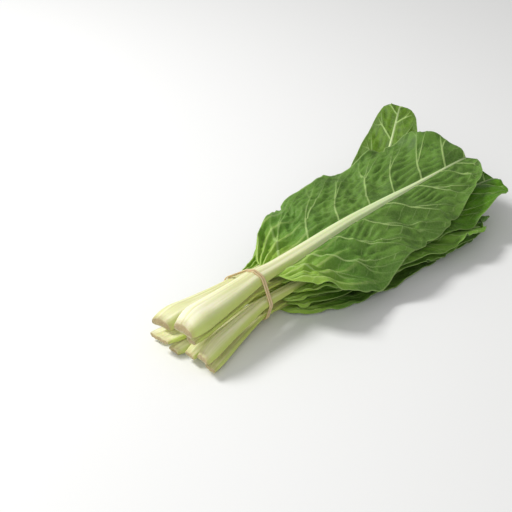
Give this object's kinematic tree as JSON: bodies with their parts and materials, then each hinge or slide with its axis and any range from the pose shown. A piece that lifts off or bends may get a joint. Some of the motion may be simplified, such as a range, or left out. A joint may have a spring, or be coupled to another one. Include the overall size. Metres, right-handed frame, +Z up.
{
  "type": "chard bunch",
  "caption": "Bunch of white-stalked chard leaves tied with a doubled rubber band, lying on its side.",
  "frame": {"origin": "on the surface the bunch lies on, under the middle of its bounding box", "axes": "+X from the cut ends of the stalks to the tips of the leaves, +Z up from the surface, +Y to the left of +X"},
  "size_m": [0.4502, 0.2082, 0.0845],
  "materials": {
    "leaf": "matte green blade on a pale cream-green stalk",
    "rubber": "matte tan"
  },
  "bodies": {
    "root": {"bottom_leaf": "leaf", "lower_right_leaf": "leaf", "lower_left_leaf": "leaf", "inner_right_leaf": "leaf", "inner_left_leaf": "leaf", "right_leaf": "leaf", "long_leaf": "leaf", "left_leaf": "leaf", "top_leaf": "leaf", "rubber_band": "rubber"}
  },
  "joints": []
}
